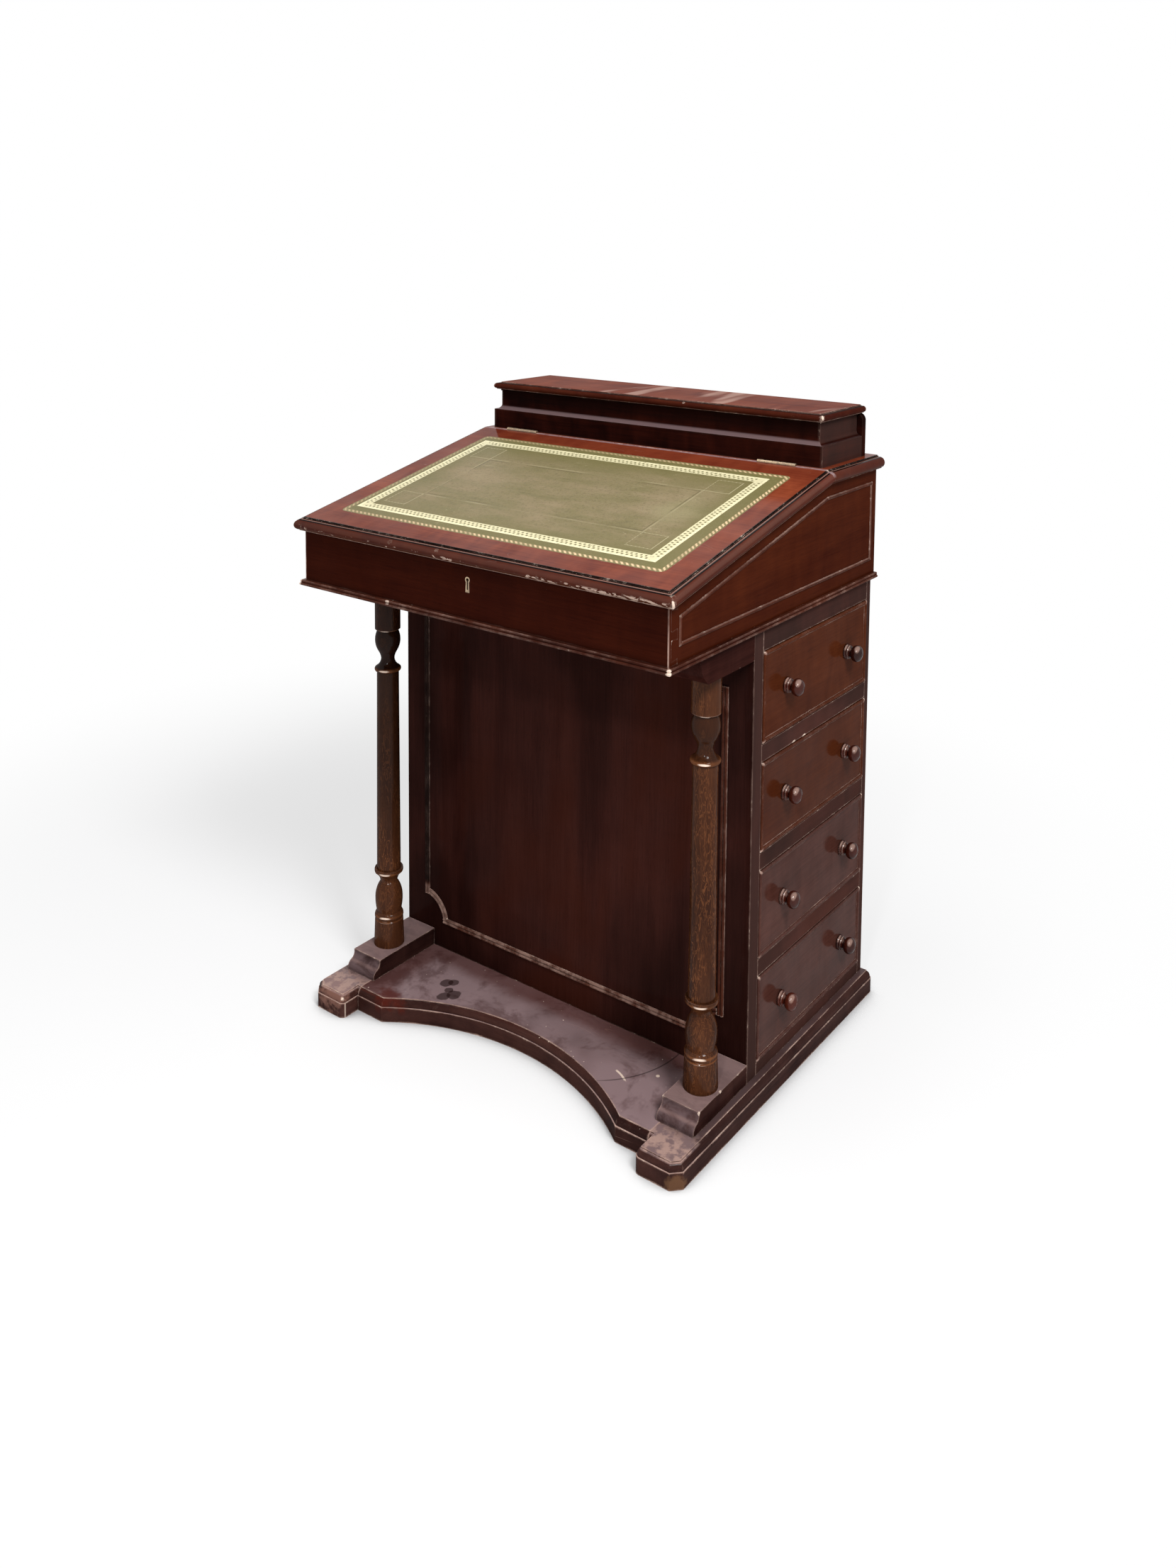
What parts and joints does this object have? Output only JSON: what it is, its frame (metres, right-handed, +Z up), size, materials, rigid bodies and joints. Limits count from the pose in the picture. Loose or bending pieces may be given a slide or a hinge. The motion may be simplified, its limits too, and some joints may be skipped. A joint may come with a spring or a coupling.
{
  "type": "davenport desk",
  "caption": "Davenport writing desk with hinged leather slope, small lidded gallery, turned columns before a recessed kneehole pedestal, and a bank of side drawers.",
  "frame": {"origin": "middle of the footprint's rectangle, on the floor", "axes": "+Z up, +Y from the sitter towards the desk's back, +X to the sitter's right, where the drawers open"},
  "size_m": [0.5702, 0.4786, 0.7645],
  "materials": {
    "carcass_wood": "french polished",
    "slope_wood": "french polished",
    "gallery_wood": "french polished",
    "turned_wood": "french polished",
    "plinth_wood": "french polished",
    "drawer_front_wood": "french polished",
    "bead_wood": "french polished",
    "knob_wood": "gloss",
    "lining_wood": "plain",
    "writing_leather": "tooled",
    "brass": "aged",
    "steel": "satin"
  },
  "bodies": {
    "desk": {"plinth_foot_left": "plinth_wood", "plinth_foot_right": "plinth_wood", "plinth_platform": "plinth_wood", "column_block_left": "plinth_wood", "column_block_right": "plinth_wood", "column_left": "turned_wood", "column_right": "turned_wood", "bearer_left": "carcass_wood", "bearer_right": "carcass_wood", "kneehole_panel": "carcass_wood", "side_panel_left": "carcass_wood", "box_front": "carcass_wood", "box_side_left": "carcass_wood", "box_side_right": "carcass_wood", "box_back": "carcass_wood", "kneehole_beading": "bead_wood", "false_drawer_beads": "bead_wood", "base_moulding": "bead_wood", "side_beads": "bead_wood", "false_drawer_knobs": "knob_wood", "back_panel": "lining_wood", "drawer_runners": "lining_wood", "drawer_stops": "lining_wood", "box_bottom": "lining_wood", "drawer_rails": "carcass_wood", "top_board": "slope_wood", "lock_case": "brass", "keyhole_escutcheon": "brass", "box_hinge_leaves": "brass", "hinge_pins": "brass", "gallery_back_hinge_leaves": "brass", "gallery_front": "gallery_wood", "gallery_back": "gallery_wood", "gallery_end_left": "gallery_wood", "gallery_end_right": "gallery_wood"},
    "slope": {"slope_board": "slope_wood", "slope_leather": "writing_leather", "slope_hinge_leaves": "brass", "strike_plate": "brass"},
    "gallery_lid": {"gallery_lid": "gallery_wood", "gallery_lid_hinge_leaves": "brass"},
    "lock_bolt": {"lock_bolt": "steel"},
    "drawer_1": {"drawer_1_front": "drawer_front_wood", "drawer_1_case": "lining_wood", "drawer_1_knobs": "knob_wood"},
    "drawer_2": {"drawer_2_front": "drawer_front_wood", "drawer_2_case": "lining_wood", "drawer_2_knobs": "knob_wood"},
    "drawer_3": {"drawer_3_front": "drawer_front_wood", "drawer_3_case": "lining_wood", "drawer_3_knobs": "knob_wood"},
    "drawer_4": {"drawer_4_front": "drawer_front_wood", "drawer_4_case": "lining_wood", "drawer_4_knobs": "knob_wood"}
  },
  "joints": [
    {"name": "slope_hinge", "type": "hinge", "parent": "desk", "child": "slope", "pos_m": [0, 0.09862, 0.70132], "axis": [-1, 0, 0], "range_deg": [0, 108]},
    {"name": "gallery_lid_hinge", "type": "hinge", "parent": "desk", "child": "gallery_lid", "pos_m": [0, 0.22205, 0.75463], "axis": [-1, 0, 0], "range_deg": [0, 100]},
    {"name": "lock_bolt_slide", "type": "slide", "parent": "desk", "child": "lock_bolt", "axis": [0, 0, 1], "range_m": [0, 0.006]},
    {"name": "drawer_1_slide", "type": "slide", "parent": "desk", "child": "drawer_1", "axis": [1, 0, 0], "range_m": [0, 0.3]},
    {"name": "drawer_2_slide", "type": "slide", "parent": "desk", "child": "drawer_2", "axis": [1, 0, 0], "range_m": [0, 0.3]},
    {"name": "drawer_3_slide", "type": "slide", "parent": "desk", "child": "drawer_3", "axis": [1, 0, 0], "range_m": [0, 0.3]},
    {"name": "drawer_4_slide", "type": "slide", "parent": "desk", "child": "drawer_4", "axis": [1, 0, 0], "range_m": [0, 0.3]}
  ]
}
